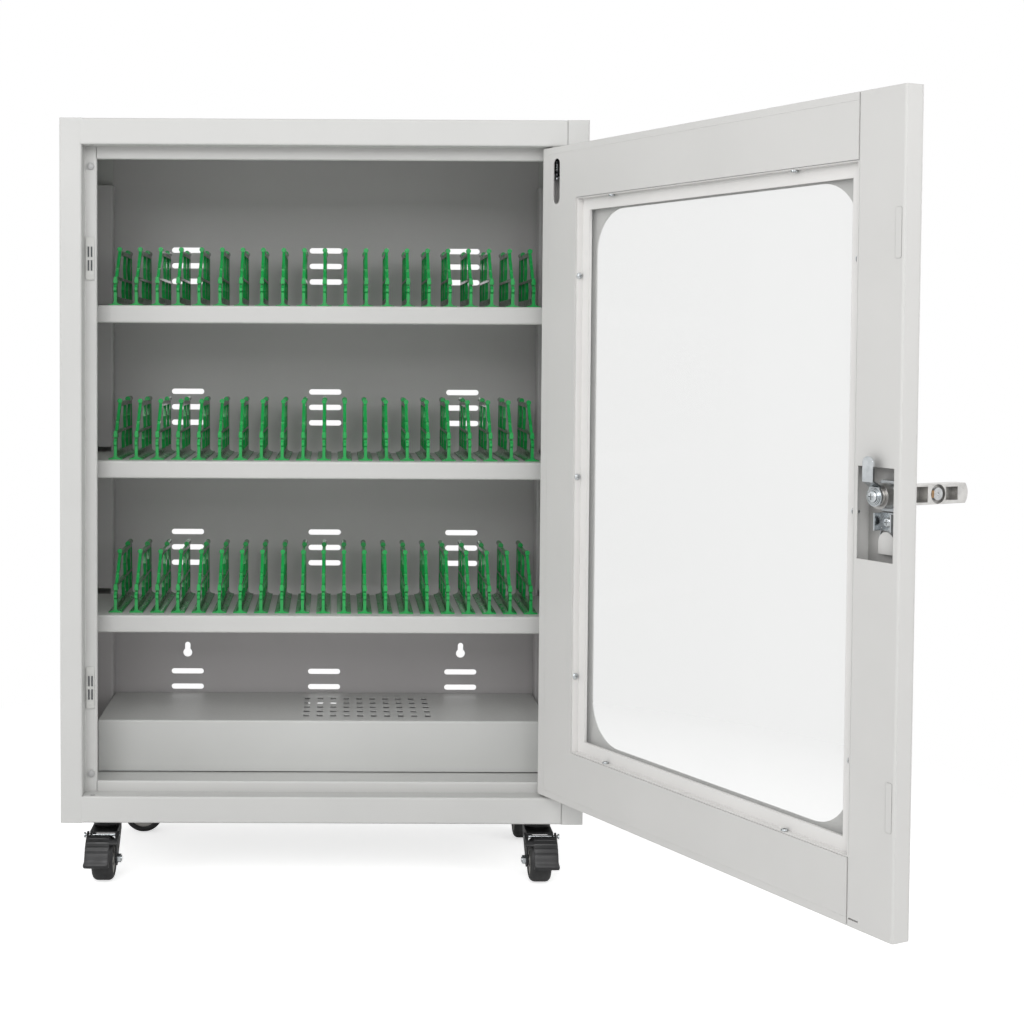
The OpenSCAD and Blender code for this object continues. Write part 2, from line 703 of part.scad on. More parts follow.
// Pane behind the skin
module window_pane() {
    color([0.9, 0.93, 0.94, 0.4]) leaf() slab(pane_s, pane_s + pane_t)
        translate(win_mid) square([win_w - 3, win_h - 3], center = true);
}

// Screws through the recess walls, with their heads inside the recess
module glazing_screw_places() {
    s = door_t - 4.4;
    for (z = [0.14, 0.5, 0.86]) {
        translate([hinge_side_w, s, win_z0 + z * win_h]) rotate(90) translate([0, -1.6, 0]) children();
        translate([lock_u, s, win_z0 + z * win_h]) rotate(-90) translate([0, -1.6, 0]) children();
    }
    for (u = [0.14, 0.8]) {
        translate([hinge_side_w + u * win_w, s, win_z0]) rotate([-90, 0, 0])
            translate([0, -1.6, 0]) children();
        translate([hinge_side_w + u * win_w, s, win_z1]) rotate([90, 0, 0])
            translate([0, -1.6, 0]) children();
    }
}
module glazing_screws() {
    color("silver") leaf() glazing_screw_places() pan_screw(3.4, 1.4, 4.5);
}
// Pan-head screw with a cross recess, its head standing at -Y
module pan_screw(head_r, shank_r, length) {
    difference() {
        union() {
            rotate([90, 0, 0]) rotate_extrude() polygon([[0, 0], [head_r, 0], [head_r, 0.8],
                [head_r * 0.8, 1.6], [0, 1.9]]);
            rod_y(shank_r, -e, length);
        }
        for (a = [0, 90]) rotate([0, a, 0]) translate([0, -1.6, 0])
            cube([head_r * 1.1, 1.4, 0.7], center = true);
    }
}

// Thin steel strikes that the magnets hold
module strike_plates() {
    color("silver") leaf() for (z = magnet_z) slab(door_t, door_t + 0.4)
        translate([leaf_w - 6.5, z - leaf_z]) round_rect(6.5, 42, 1.5);
}

// Bracket with two ears that guides the sprung hinge pin
module pin_guide() {
    color("dimgray") leaf() difference() {
        union() {
            block([2, t, guide_z[0] - 2], [18, 2 * t, guide_z[1] + 2]);
            for (z = guide_z) block([2, t, z - 0.8], [18, 12, z + 0.8]);
            block([18, t, guide_z[0] - 2], [18 + t, 12, guide_z[1] + 2]);
        }
        translate([hinge_inset, hinge_depth, guide_z[0] - 5])
            cylinder(r = pin_r + run_gap, h = leaf_h - guide_z[0] + 5 - t);
        translate([hinge_inset, hinge_depth, guide_z[0] + 0.8])
            cylinder(r = 5.2, h = guide_z[1] - guide_z[0] - 1.6);
    }
}
// Coil spring on the hinge pin, one round wire on a helix
module pin_spring() {
    turns = 6;
    steps = 8 * turns;
    sides = 6;
    coil_r = 4.2;
    wire_r = 0.5;
    low = guide_z[0] + 1.4;
    high = guide_z[1] - 3.2;
    rings = [for (k = [0:steps]) let (a = 45 * k, z = low + (high - low) * k / steps)
        for (j = [0:sides - 1]) let (b = 360 / sides * j, r = coil_r + wire_r * cos(b))
            [r * cos(a), r * sin(a), z + wire_r * sin(b)]];
    faces = concat(
        [for (k = [0:steps - 1], j = [0:sides - 1]) let (a = k * sides + j,
            b = k * sides + (j + 1) % sides) each [[a, a + sides, b], [b, a + sides, b + sides]]],
        [for (j = [1:sides - 2]) [0, j, j + 1]],
        [for (j = [1:sides - 2]) [steps * sides, steps * sides + j + 1, steps * sides + j]]);
    color("silver") leaf() translate([hinge_inset, hinge_depth, 0]) polyhedron(rings, faces);
}
module lower_hinge_pin() {
    color("silver") leaf() translate([hinge_inset, hinge_depth, -14]) {
        cylinder(r = pin_r, h = 40);
        translate([0, 0, 14 + t]) cylinder(r = 4.6, h = 6);
    }
}
// Sprung pin with its collar, and the bent lever that draws it down
module upper_hinge_pin() {
    z = slot_z[0] + 31.3;
    color("silver") leaf() {
        translate([hinge_inset, hinge_depth, z - 3]) cylinder(r = pin_r, h = leaf_h + 8 - z + 3);
        translate([hinge_inset, hinge_depth, guide_z[1] - 2.6]) cylinder(r = 4.6, h = 1.6);
        translate([0, hinge_depth + 1, z]) rod_x(1.4, hinge_inset, slot_u + 1.4);
        translate([slot_u, hinge_depth + 1, z - 13]) cylinder(r = 1.4, h = 13);
    }
}

// ---- Lock ----

// Carries a piece to the lock spindle: X along the leaf, Y into the door, Z up
module at_lock() {
    leaf() translate([spindle_u, 0, lock_z]) children();
}
// Face plate on the outside, with a round head and a long tail
module escutcheon() {
    color("silver") at_lock() difference() {
        slab(-plate_t, 0) {
            translate([0, -31]) round_rect(27, 92, 10);
        }
        rod_y(spindle_r + run_gap, -plate_t - 1, 1);
        translate([0, 0, -cyl_l]) rod_y(7.2, -plate_t - 1, 1);
    }
}
module lock_barrel() {
    color("lightgray") at_lock() difference() {
        rod_y(barrel_r, 0, 15.5);
        rod_y(spindle_r + run_gap, -1, 17);
    }
}
module lock_nut() {
    color("silver") at_lock() difference() {
        translate([0, 5.2, 0]) rotate([90, 0, 0]) cylinder(r = 15, h = 4, $fn = 6);
        rod_y(barrel_r, 0, 17);
    }
}
// Folded clip below the barrel, with its screw
module lock_clip() {
    color("lightgray") at_lock() {
        slab(t, 2.6) translate([0, -22.5]) round_rect(20, 16, 1);
        for (x = [-10, 8.6]) block([x, t, -30], [x + 1.4, 11, -15]);
        translate([0, 4.5, -22.5]) mirror([0, 1, 0]) pan_screw(4.2, 2, 1.9);
        translate([-10.5, 2.5, -36]) rotate([0, 12, 0]) cylinder(r = 0.7, h = 9);
    }
}
// D-shaped finger cup pressed in behind the handle's tip
module finger_cup() {
    color("lightgray") at_lock() translate([1.5, 0, -39.5]) difference() {
        slab(t, 7.5) {
            circle(9);
            translate([-9, -10]) square([18, 10]);
        }
        slab(-1, 6.3) {
            circle(7.8);
            translate([-7.8, -8.8]) square([15.6, 8.8]);
        }
    }
}
// Spindle through the barrel, with the tongue that the handle folds on
module lock_spindle() {
    color("silver") at_lock() {
        rod_y(spindle_r, -plate_t, 18);
        intersection() {
            union() {
                translate([-tongue_r, pivot_s, -6.5]) cube([2 * tongue_r, -pivot_s - plate_t, 13]);
                translate([0, pivot_s, -6.5]) cylinder(r = tongue_r, h = 13);
            }
            rod_y(10, -20, 0);
        }
        translate([0, pivot_s, -8.75]) cylinder(r = 1.8, h = 17.5);
        difference() {
            rod_y(4, 18, 22.5);
            rod_y(2.1, 18.5, 23);
        }
    }
}
// Cam: a plate bent outwards in a step, with a round end
module lock_cam() {
    color("silver") at_lock() difference() {
        union() {
            slab(18.6, 20.6) {
                circle(8.5);
                translate([-6, 0]) square([12, 8.5]);
            }
            translate([-6, 0, 8]) run_x(0, 12)
                polygon([[18.6, 0], [20.6, 0], [28.4, 4.4], [28.4, 6.6], [26.4, 6.6], [26.4, 5.6],
                    [18.6, 1.2]]);
            slab(26.4, 28.4) {
                translate([-6, 14]) square([12, cam_l - 20]);
                translate([0, cam_l - 6]) circle(6);
            }
        }
        rod_y(4.05, 15, 25);
    }
}
module cam_screw() {
    color("silver") at_lock() {
        for (w = [[7, 20.6], [6.2, 21.4]]) difference() {
            rod_y(w[0], w[1], w[1] + 0.8);
            rod_y(4.05, 15, 25);
        }
        translate([0, 22.5, 0]) mirror([0, 1, 0]) pan_screw(5, 2, 3.5);
    }
}
// Handle: a hollow lever on the pivot, standing straight out from the door
module handle_lever() {
    w = handle_w / 2;
    back = -6.5;
    face = 4.5;
    color("silver") at_lock() translate([0, pivot_s, 0]) difference() {
        intersection() {
            translate([back, 0, 0]) rotate([0, 90, 0]) rotate([0, 0, 180])
                linear_extrude(face - back) lever_outline(w);
            union() {
                block([back, -handle_l - 1, -w], [face, 0, w]);
                block([back, -e, -w], [0, 2.6, w]);
                translate([0, 0, -w]) cylinder(r = face, h = 2 * w);
            }
        }
        translate([back + wall, tongue_r + 3, -w + wall])
            mirror([0, 1, 0]) cube([20, 36, handle_w - 2 * wall]);
        translate([back + 3, -cyl_l - 9, -w + 3]) mirror([0, 1, 0]) cube([20, 14, handle_w - 6]);
        translate([0, -cyl_l, 0]) rod_x(5.5, -20, 20);
        translate([0, -cyl_l, 0]) rod_x(8.3, face - 2.9, 20);
        translate([0, 0, -20]) cylinder(r = 1.85, h = 40);
    }
}
// Outline of the handle in its length and width, from the pivot to a round tip
module lever_outline(w) {
    intersection() {
        translate([-w, -4.3]) square([2 * w, handle_l + 4.3]);
        translate([0, handle_l - 14]) circle(14);
    }
    translate([-w, -4.3]) square([2 * w, handle_l - 10]);
}
// Quarter round of a key's bow, about (x, y), from angle a on
function bow_corner(x, y, a) = [for (k = [0:6])
    [x + bow_round * cos(a - 15 * k), y + bow_round * sin(a - 15 * k)]];

// Key flat: a bow with an oblong hole hole_h high, a shoulder and a toothed blade below
module key_outline(hole_h, blade) {
    top = hole_h / 2 + 2.6;
    neck = top - bow_l;
    tip = neck - (blade ? 26 : 2);
    side = bow_w / 2;
    difference() {
        polygon(concat(bow_corner(bow_round - side, top - bow_round, 180),
            bow_corner(side - bow_round, top - bow_round, 90),
            [[side, top - 11], [5.5, neck], [3.4, neck - 0.5], [3.4, tip + 1.6], [1.6, tip],
             [-1.6, tip], [-3.4, tip + 1.6], [-3.4, neck - 0.5], [-5.5, neck], [-side, top - 11]]));
        oblong(11.2, hole_h);
        if (blade) for (k = [0:3]) translate([-4.1, neck - 5 - 5 * k])
            rotate(45) square(2.2 + 0.5 * (k % 3), center = true);
    }
}
// Lock cylinder and its key: barrel, brass tongue and the bow outside the handle
module lock_key() {
    color("silver") at_lock() translate([0, key_s, 0]) {
        difference() {
            rod_x(5.45, -7.5, 4.4);
            rod_x(1.4, 3.2, 6);
        }
        block([2, 0, -3.2], [4.2, 7.4, 3.2]);
        rod_x(2.4, -12.5, -7);
        translate([bow_x, 0, -key_t / 2]) linear_extrude(key_t) rotate(90) key_outline(7, false);
    }
}
module key_ring() {
    color("silver") at_lock() translate([bow_x - 4.8, key_s + 2.6, ring_z])
        rotate([90, 0, 0]) rotate_extrude() translate([ring_r, 0]) circle(0.7, $fn = 16);
}
module spare_key() {
    color("silver") at_lock() translate([bow_x - 4.8, key_s + 6.4, ring_z - ring_r - 0.85])
        rotate([90, 0, 90]) translate([0, 0, -key_t / 2]) linear_extrude(key_t) key_outline(3.2, true);
}

left_side_panel();
right_side_panel();
top_panel();
bottom_panel();
floor_panel();
back_panel();
rear_posts();
shelf_upper();
shelf_middle();
shelf_lower();
dividers_upper();
dividers_middle();
dividers_lower();
power_cover();
shelf_brackets();
door_bumpers();
catch_bodies();
catch_magnets();
hinge_bushes();
caster_plates();
caster_bolts();
door_skin();
door_inner_panel();
door_lock_stile();
glazing_frame();
window_pane();
glazing_screws();
strike_plates();
pin_guide();
pin_spring();
lower_hinge_pin();
escutcheon();
lock_barrel();
lock_nut();
lock_clip();
finger_cup();
upper_hinge_pin();
lock_spindle();
lock_cam();
cam_screw();
handle_lever();
lock_key();
key_ring();
spare_key();
fork_front_left();
fork_front_right();
fork_rear_left();
fork_rear_right();
axle_front_left();
axle_front_right();
axle_rear_left();
axle_rear_right();
wheel_front_left();
wheel_front_right();
wheel_rear_left();
wheel_rear_right();
brake_front_left();
brake_front_right();
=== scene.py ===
"""Phone storage cabinet: finishes, fine pieces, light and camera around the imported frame.

Lengths are in metres and share the frame's axes: X towards the hinge side, Y towards the
back and Z up, with the origin on the floor under the middle of the cabinet.
"""

import logging
import math
from dataclasses import dataclass
from enum import Enum
from typing import Sequence

import bmesh
import bpy
import numpy as np
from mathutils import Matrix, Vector


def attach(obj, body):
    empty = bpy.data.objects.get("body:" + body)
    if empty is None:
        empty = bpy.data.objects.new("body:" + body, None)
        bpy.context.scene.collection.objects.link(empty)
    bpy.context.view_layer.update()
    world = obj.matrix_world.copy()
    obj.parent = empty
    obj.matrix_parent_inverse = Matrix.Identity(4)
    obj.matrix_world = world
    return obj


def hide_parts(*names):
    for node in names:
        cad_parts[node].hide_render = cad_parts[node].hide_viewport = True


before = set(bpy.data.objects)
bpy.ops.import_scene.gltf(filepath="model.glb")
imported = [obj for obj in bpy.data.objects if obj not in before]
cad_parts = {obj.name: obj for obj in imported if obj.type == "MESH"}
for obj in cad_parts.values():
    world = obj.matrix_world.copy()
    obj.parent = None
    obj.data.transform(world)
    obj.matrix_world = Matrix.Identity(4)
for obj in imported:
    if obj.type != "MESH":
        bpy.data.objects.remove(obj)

LOG = logging.getLogger("phone_cabinet")
SHARP_FROM = math.radians(38)
MERGE_WITHIN = 2e-6
Colour = tuple[float, float, float]


# ---- Frame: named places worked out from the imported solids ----


@dataclass(frozen=True)
class Leaf:
    """The open door's own axes: u from the hinge edge, s in from the outer face, z up.

    Attributes:
        open_deg: Angle at which the leaf stands open.
        hinge: Hinge axis in the room, X and Y.
        inset: Hinge axis from the leaf's hinge edge.
        depth: Hinge axis behind the leaf's outer face.
    """

    open_deg: float = 117.0
    hinge: tuple[float, float] = (0.255, -0.124)
    inset: float = 0.008
    depth: float = 0.006

    @property
    def along(self) -> np.ndarray:
        """Unit vector from the hinge edge to the free edge."""
        a = math.radians(self.open_deg)
        return np.array([-math.cos(a), -math.sin(a), 0.0])

    @property
    def inward(self) -> np.ndarray:
        """Unit vector from the outer face to the inner face."""
        a = math.radians(self.open_deg)
        return np.array([-math.sin(a), math.cos(a), 0.0])


LEAF = Leaf()


# ---- Meshes: surfaces worked out as whole arrays ----


def grid_faces(rows: int, cols: int, wrap_rows: bool, wrap_cols: bool) -> np.ndarray:
    """Quads over a grid of points: each joins a point to the next along, across and both.

    Args:
        rows: Points along the first parameter.
        cols: Points along the second parameter.
        wrap_rows: Whether the last row joins the first.
        wrap_cols: Whether the last column joins the first.

    Returns:
        Array of four point numbers a face.
    """
    i = np.arange(rows if wrap_rows else rows - 1)[:, None]
    j = np.arange(cols if wrap_cols else cols - 1)[None, :]
    i2, j2 = (i + 1) % rows, (j + 1) % cols
    return np.stack([i * cols + j, i2 * cols + j, i2 * cols + j2, i * cols + j2], -1).reshape(-1, 4)


def solid(name: str, grids: Sequence[tuple[np.ndarray, bool, bool]]) -> bpy.types.Object:
    """Makes one closed piece of one or more grids, its doubles merged and its faces outwards.

    Args:
        name: Name of the piece.
        grids: Grids of points with whether their rows and columns wrap round.

    Returns:
        The new object, with its place in its mesh.
    """
    points, faces, start = [], [], 0
    for grid, wrap_rows, wrap_cols in grids:
        rows, cols = grid.shape[:2]
        points.append(grid.reshape(-1, 3))
        faces.append(grid_faces(rows, cols, wrap_rows, wrap_cols) + start)
        start += rows * cols
    mesh = bpy.data.meshes.new(name)
    mesh.from_pydata(np.concatenate(points).tolist(), [], np.concatenate(faces).tolist())
    work = bmesh.new()
    work.from_mesh(mesh)
    bmesh.ops.remove_doubles(work, verts=work.verts, dist=MERGE_WITHIN)
    bmesh.ops.recalc_face_normals(work, faces=work.faces)
    work.to_mesh(mesh)
    work.free()
    piece = bpy.data.objects.new(name, mesh)
    bpy.context.scene.collection.objects.link(piece)
    mesh.shade_smooth()
    mesh.set_sharp_from_angle(angle=SHARP_FROM)
    return piece


def lathe(profile: np.ndarray, steps: int = 48) -> np.ndarray:
    """Turns a profile of radius and height about Z: x = r cos a, y = r sin a, z = h.

    Args:
        profile: Array of radius and height.
        steps: Steps round the turn.

    Returns:
        Grid of points, profile by angle.
    """
    a = np.linspace(0, 2 * np.pi, steps, endpoint=False)
    r, h = profile[:, 0:1], profile[:, 1:2]
    return np.stack([r * np.cos(a), r * np.sin(a), np.broadcast_to(h, (len(profile), steps))], -1)


def arc(centre: tuple[float, float], radius: float, start: float, end: float, steps: int) -> np.ndarray:
    """Points of an arc: centre plus radius times cosine and sine of the angle in degrees.

    Args:
        centre: Centre of the arc.
        radius: Radius.
        start: First angle in degrees.
        end: Last angle in degrees.
        steps: Number of points.

    Returns:
        Array of points in the plane.
    """
    a = np.radians(np.linspace(start, end, steps))
    return np.stack([centre[0] + radius * np.cos(a), centre[1] + radius * np.sin(a)], -1)


def basis(points: np.ndarray, origin: Sequence[float], x: Sequence[float], y: Sequence[float],
          z: Sequence[float]) -> np.ndarray:
    """Carries points to new axes: origin plus each part times its axis.

    Args:
        points: Points in the local axes.
        origin: Where the local origin goes.
        x: Direction of the local X.
        y: Direction of the local Y.
        z: Direction of the local Z.

    Returns:
        The points in the room.
    """
    return np.asarray(origin, float) + points @ np.array([x, y, z], float)


def rounded_section(half_w: np.ndarray, half_h: np.ndarray, power: float, steps: int) -> np.ndarray:
    """Rounded box sections: x = w c^(2/n), y = h s^(2/n), where c and s are cosine and sine.

    Args:
        half_w: Half width of each section.
        half_h: Half height of each section.
        power: Power n of the curve: 2 is an ellipse, more is squarer.
        steps: Points round a section.

    Returns:
        Grid of x and y, section by point.
    """
    a = np.linspace(0, 2 * np.pi, steps, endpoint=False)
    c, d = np.cos(a), np.sin(a)
    x = np.sign(c) * np.abs(c) ** (2 / power)
    y = np.sign(d) * np.abs(d) ** (2 / power)
    return np.stack([half_w[:, None] * x, half_h[:, None] * y], -1)


def capped(rings: np.ndarray) -> np.ndarray:
    """Closes a run of rings at both ends by drawing the first and last ring in to their middles."""
    first = np.broadcast_to(rings[0].mean(0), rings[0].shape)[None]
    last = np.broadcast_to(rings[-1].mean(0), rings[-1].shape)[None]
    return np.concatenate([first, rings, last])


# ---- Finishes ----


class Nodes:
    """Small helper that adds and joins shader nodes of one material."""

    def __init__(self, name: str) -> None:
        """Starts an empty node material.

        Args:
            name: Name of the material.
        """
        self.material = bpy.data.materials.new(name)
        self.material.use_nodes = True
        self.tree = self.material.node_tree
        self.shader = self.tree.nodes["Principled BSDF"]

    def add(self, kind: str, **values: object) -> bpy.types.Node:
        """Adds a node and sets its sockets and properties.

        Args:
            kind: Node type.
            **values: Properties, or sockets named in_ and the socket's number.

        Returns:
            The node.
        """
        node = self.tree.nodes.new(kind)
        for key, value in values.items():
            if key.startswith("in_"):
                node.inputs[int(key[3:])].default_value = value
            else:
                setattr(node, key, value)
        return node

    def join(self, source: bpy.types.NodeSocket, target: bpy.types.NodeSocket) -> None:
        """Links one socket to another."""
        self.tree.links.new(source, target)

    def object_place(self) -> bpy.types.NodeSocket:
        """Returns the piece's own coordinates."""
        return self.add("ShaderNodeTexCoord").outputs["Object"]

    def noise(self, scale: float, detail: float = 2.0, rough: float = 0.5) -> bpy.types.NodeSocket:
        """Adds noise on the piece's own coordinates.

        Args:
            scale: Cells a metre.
            detail: Octaves.
            rough: Weight of the finer octaves.

        Returns:
            The noise value, about 0 to 1.
        """
        node = self.add("ShaderNodeTexNoise")
        node.inputs["Scale"].default_value = scale
        node.inputs["Detail"].default_value = detail
        node.inputs["Roughness"].default_value = rough
        self.join(self.object_place(), node.inputs["Vector"])
        return node.outputs["Fac"]

    def spread(self, value: bpy.types.NodeSocket, low: float, high: float, to_low: float,
               to_high: float) -> bpy.types.NodeSocket:
        """Maps a value's range to another, clamped.

        Args:
            value: The value.
            low: Low end of the value.
            high: High end of the value.
            to_low: What the low end becomes.
            to_high: What the high end becomes.

        Returns:
            The mapped value.
        """
        node = self.add("ShaderNodeMapRange", in_1=low, in_2=high, in_3=to_low, in_4=to_high)
        self.join(value, node.inputs[0])
        return node.outputs[0]

    def blend(self, value: bpy.types.NodeSocket, first: Colour, second: Colour) -> bpy.types.NodeSocket:
        """Mixes two colours by a value.

        Args:
            value: Share of the second colour.
            first: Colour at 0.
            second: Colour at 1.

        Returns:
            The mixed colour.
        """
        node = self.add("ShaderNodeMix", data_type="RGBA")
        node.inputs[6].default_value = (*first, 1.0)
        node.inputs[7].default_value = (*second, 1.0)
        self.join(value, node.inputs[0])
        return node.outputs[2]

    def past(self, axis: np.ndarray, limit: float) -> bpy.types.NodeSocket:
        """Tests a door measure: 1 where the place's dot product with the axis passes the limit.

        Args:
            axis: Door axis.
            limit: Limit along it from the hinge axis, in metres.

        Returns:
            1 past the limit, else 0.
        """
        dot = self.add("ShaderNodeVectorMath", operation="DOT_PRODUCT")
        self.join(self.object_place(), dot.inputs[0])
        dot.inputs[1].default_value = tuple(map(float, axis))
        start = float(np.array([*LEAF.hinge, 0.0]) @ axis)
        test = self.add("ShaderNodeMath", operation="GREATER_THAN", in_1=start + limit)
        self.join(dot.outputs["Value"], test.inputs[0])
        return test.outputs[0]

    def painted_corner_shade(self, colour: bpy.types.NodeSocket, reach: float, least: float,
                past_u: float = 0.0) -> bpy.types.NodeSocket:
        """Paints shade into a colour where other surfaces stand close, in corners and recesses: colour
        times a share of the open sky.

        Args:
            colour: The colour.
            reach: How near counts, in metres.
            least: What is left of the colour in a closed corner.
            past_u: Only past this distance from the door's hinge edge, or 0 for everywhere.

        Returns:
            The colour with its painted corner shade.
        """
        # Painted shade: the ambient occlusion value scales the base colour, darkening corners and recesses.
        near = self.add("ShaderNodeAmbientOcclusion", samples=6)
        near.inputs["Distance"].default_value = reach
        scaled = self.add("ShaderNodeVectorMath", operation="SCALE")
        self.join(colour, scaled.inputs[0])
        shade = self.spread(near.outputs["AO"], 0.1, 0.95, least, 1.0)
        if past_u:
            before = self.spread(self.past(LEAF.along, past_u - LEAF.inset), 0, 1, 1, 0)
            both = self.add("ShaderNodeMath", operation="MAXIMUM")
            self.join(shade, both.inputs[0])
            self.join(before, both.inputs[1])
            shade = both.outputs[0]
        self.join(shade, scaled.inputs["Scale"])
        return scaled.outputs[0]

    def relief(self, height: bpy.types.NodeSocket, depth: float, edge: float = 0.0) -> None:
        """Gives the shader bump, over edges that are softened by a small radius.

        Args:
            height: Height value, 0 to 1.
            depth: Height in metres at 1.
            edge: Radius of the softened edges, or 0.
        """
        bump = self.add("ShaderNodeBump")
        bump.inputs["Strength"].default_value = 1.0
        bump.inputs["Distance"].default_value = depth
        self.join(height, bump.inputs["Height"])
        if edge:
            bevel = self.add("ShaderNodeBevel", samples=3)
            bevel.inputs["Radius"].default_value = edge
            self.join(bevel.outputs["Normal"], bump.inputs["Normal"])
        self.join(bump.outputs["Normal"], self.shader.inputs["Normal"])


@dataclass(frozen=True)
class PowderCoat:
    """Baked powder coat on sheet steel: fine orange peel with a faint cloudy tone, and painted shade
    darkening its corners and recesses.

    Attributes:
        name: Name of the material.
        colour: Base colour.
        gloss: Roughness.
        peel: Height of the orange peel in metres.
        edge: Radius of softened edges.
        reach: Reach of the painted corner shade in metres.
        least: Share of the colour left by the painted shade in a closed corner.
        past_u: The painted corner shade falls only past this distance from the door's hinge edge.
    """

    name: str
    colour: Colour
    gloss: float = 0.42
    peel: float = 0.000018
    edge: float = 0.0006
    reach: float = 0.01
    least: float = 0.8
    past_u: float = 0.0

    def make(self) -> bpy.types.Material:
        """Builds the material.

        Returns:
            The material.
        """
        n = Nodes(self.name)
        cloud = n.spread(n.noise(9.0, 3.0), 0.3, 0.7, 0.0, 1.0)
        darker = tuple(0.965 * c for c in self.colour)
        # Painted shade: the base colour is darkened in corners and recesses by the ambient occlusion.
        tone = n.painted_corner_shade(n.blend(cloud, self.colour, darker), self.reach, self.least, self.past_u)
        n.join(tone, n.shader.inputs["Base Color"])
        n.join(n.spread(n.noise(340.0, 2.0), 0.3, 0.7, self.gloss - 0.05, self.gloss + 0.06),
               n.shader.inputs["Roughness"])
        n.relief(n.noise(900.0, 2.5, 0.6), self.peel, self.edge)
        n.shader.inputs["Specular IOR Level"].default_value = 0.4
        return n.material


@dataclass(frozen=True)
class MouldedPlastic:
    """Moulded plastic: smooth, with a faint flow in tone and a little grain.

    Attributes:
        name: Name of the material.
        colour: Base colour.
        second: Colour that it drifts towards.
        gloss: Roughness.
        grain: Height of the grain in metres.
        scale: Grains a metre.
        edge: Radius of softened edges.
    """

    name: str
    colour: Colour
    second: Colour
    gloss: float = 0.25
    grain: float = 0.00002
    scale: float = 500.0
    edge: float = 0.0005

    def make(self) -> bpy.types.Material:
        """Builds the material.

        Returns:
            The material.
        """
        n = Nodes(self.name)
        flow = n.spread(n.noise(38.0, 3.0), 0.35, 0.65, 0.0, 1.0)
        n.join(n.blend(flow, self.colour, self.second), n.shader.inputs["Base Color"])
        n.join(n.spread(n.noise(120.0, 3.0), 0.3, 0.7, self.gloss * 0.8, self.gloss * 1.25),
               n.shader.inputs["Roughness"])
        n.relief(n.noise(self.scale, 2.0), self.grain, self.edge)
        return n.material


@dataclass(frozen=True)
class DividerPlastic:
    """Glossy green plastic of the dividers: bright edges, with a darker copy of the green painted on the
    broad sides as their shade.

    Attributes:
        name: Name of the material.
        edge_colour: Colour of faces that look along the slot.
        slot_shade_colour: Darker copy of the green, painted on the broad faces between two slots as their
            shade.
        gloss: Roughness.
        glint: How much the edge colour brightens where the plastic flowed.
        grain: Height of the grain in metres.
        scale: Grains a metre.
        edge: Radius of softened edges.
    """

    name: str
    edge_colour: Colour
    slot_shade_colour: Colour
    gloss: float = 0.22
    glint: float = 1.18
    grain: float = 0.00002
    scale: float = 480.0
    edge: float = 0.0005

    def make(self) -> bpy.types.Material:
        """Builds the material: the share of the painted slot shade colour grows with the normal's X part.

        Returns:
            The material.
        """
        n = Nodes(self.name)
        parts = n.add("ShaderNodeSeparateXYZ")
        n.join(n.add("ShaderNodeNewGeometry").outputs["True Normal"], parts.inputs[0])
        across = n.add("ShaderNodeMath", operation="ABSOLUTE")
        n.join(parts.outputs[0], across.inputs[0])
        # Painted shade: faces turned along X, the broad sides inside the narrow slots, take the darker
        # green.
        side = n.spread(across.outputs[0], 0.45, 0.95, 0.0, 1.0)
        flow = n.spread(n.noise(38.0, 3.0), 0.35, 0.65, 0.0, 1.0)
        bright = n.blend(flow, self.edge_colour, tuple(self.glint * c for c in self.edge_colour))
        mix = n.add("ShaderNodeMix", data_type="RGBA")
        mix.inputs[7].default_value = (*self.slot_shade_colour, 1.0)
        n.join(bright, mix.inputs[6])
        n.join(side, mix.inputs[0])
        n.join(mix.outputs[2], n.shader.inputs["Base Color"])
        n.join(n.spread(n.noise(120.0, 3.0), 0.3, 0.7, self.gloss * 0.8, self.gloss * 1.3),
               n.shader.inputs["Roughness"])
        n.relief(n.noise(self.scale, 2.0), self.grain, self.edge)
        return n.material


@dataclass(frozen=True)
class PlatedSteel:
    """Plated or cast metal: brushed tone, with a patchy roughness, fine scratches and painted shade in its
    corners.

    Attributes:
        name: Name of the material.
        colour: Base colour.
        second: Colour of its worn patches.
        gloss: Roughness.
        stretch: How far the scratches are drawn out along each axis.
        edge: Radius of softened edges.
        reach: Reach of the painted corner shade in metres.
        least: Share of the colour left by the painted shade in a closed corner.
        depth: Depth of the scratches in metres.
    """

    name: str
    colour: Colour
    second: Colour
    gloss: float = 0.3
    stretch: Colour = (60.0, 60.0, 1400.0)
    edge: float = 0.0004
    reach: float = 0.008
    least: float = 0.3
    depth: float = 0.000015

    def make(self) -> bpy.types.Material:
        """Builds the material.

        Returns:
            The material.
        """
        n = Nodes(self.name)
        n.shader.inputs["Metallic"].default_value = 1.0
        patch = n.spread(n.noise(140.0, 4.0), 0.35, 0.7, 0.0, 1.0)
        # Painted shade: the worn tone is darkened in corners by the ambient occlusion.
        tone = n.painted_corner_shade(n.blend(patch, self.colour, self.second), self.reach, self.least)
        n.join(tone, n.shader.inputs["Base Color"])
        n.join(n.spread(n.noise(260.0, 3.0), 0.3, 0.7, self.gloss * 0.75, self.gloss * 1.35),
               n.shader.inputs["Roughness"])
        drawn = n.add("ShaderNodeMapping")
        drawn.inputs["Scale"].default_value = self.stretch
        n.join(n.object_place(), drawn.inputs["Vector"])
        scratch = n.add("ShaderNodeTexNoise")
        scratch.inputs["Scale"].default_value = 1.0
        scratch.inputs["Detail"].default_value = 3.0
        n.join(drawn.outputs["Vector"], scratch.inputs["Vector"])
        n.relief(scratch.outputs["Fac"], self.depth, self.edge)
        return n.material


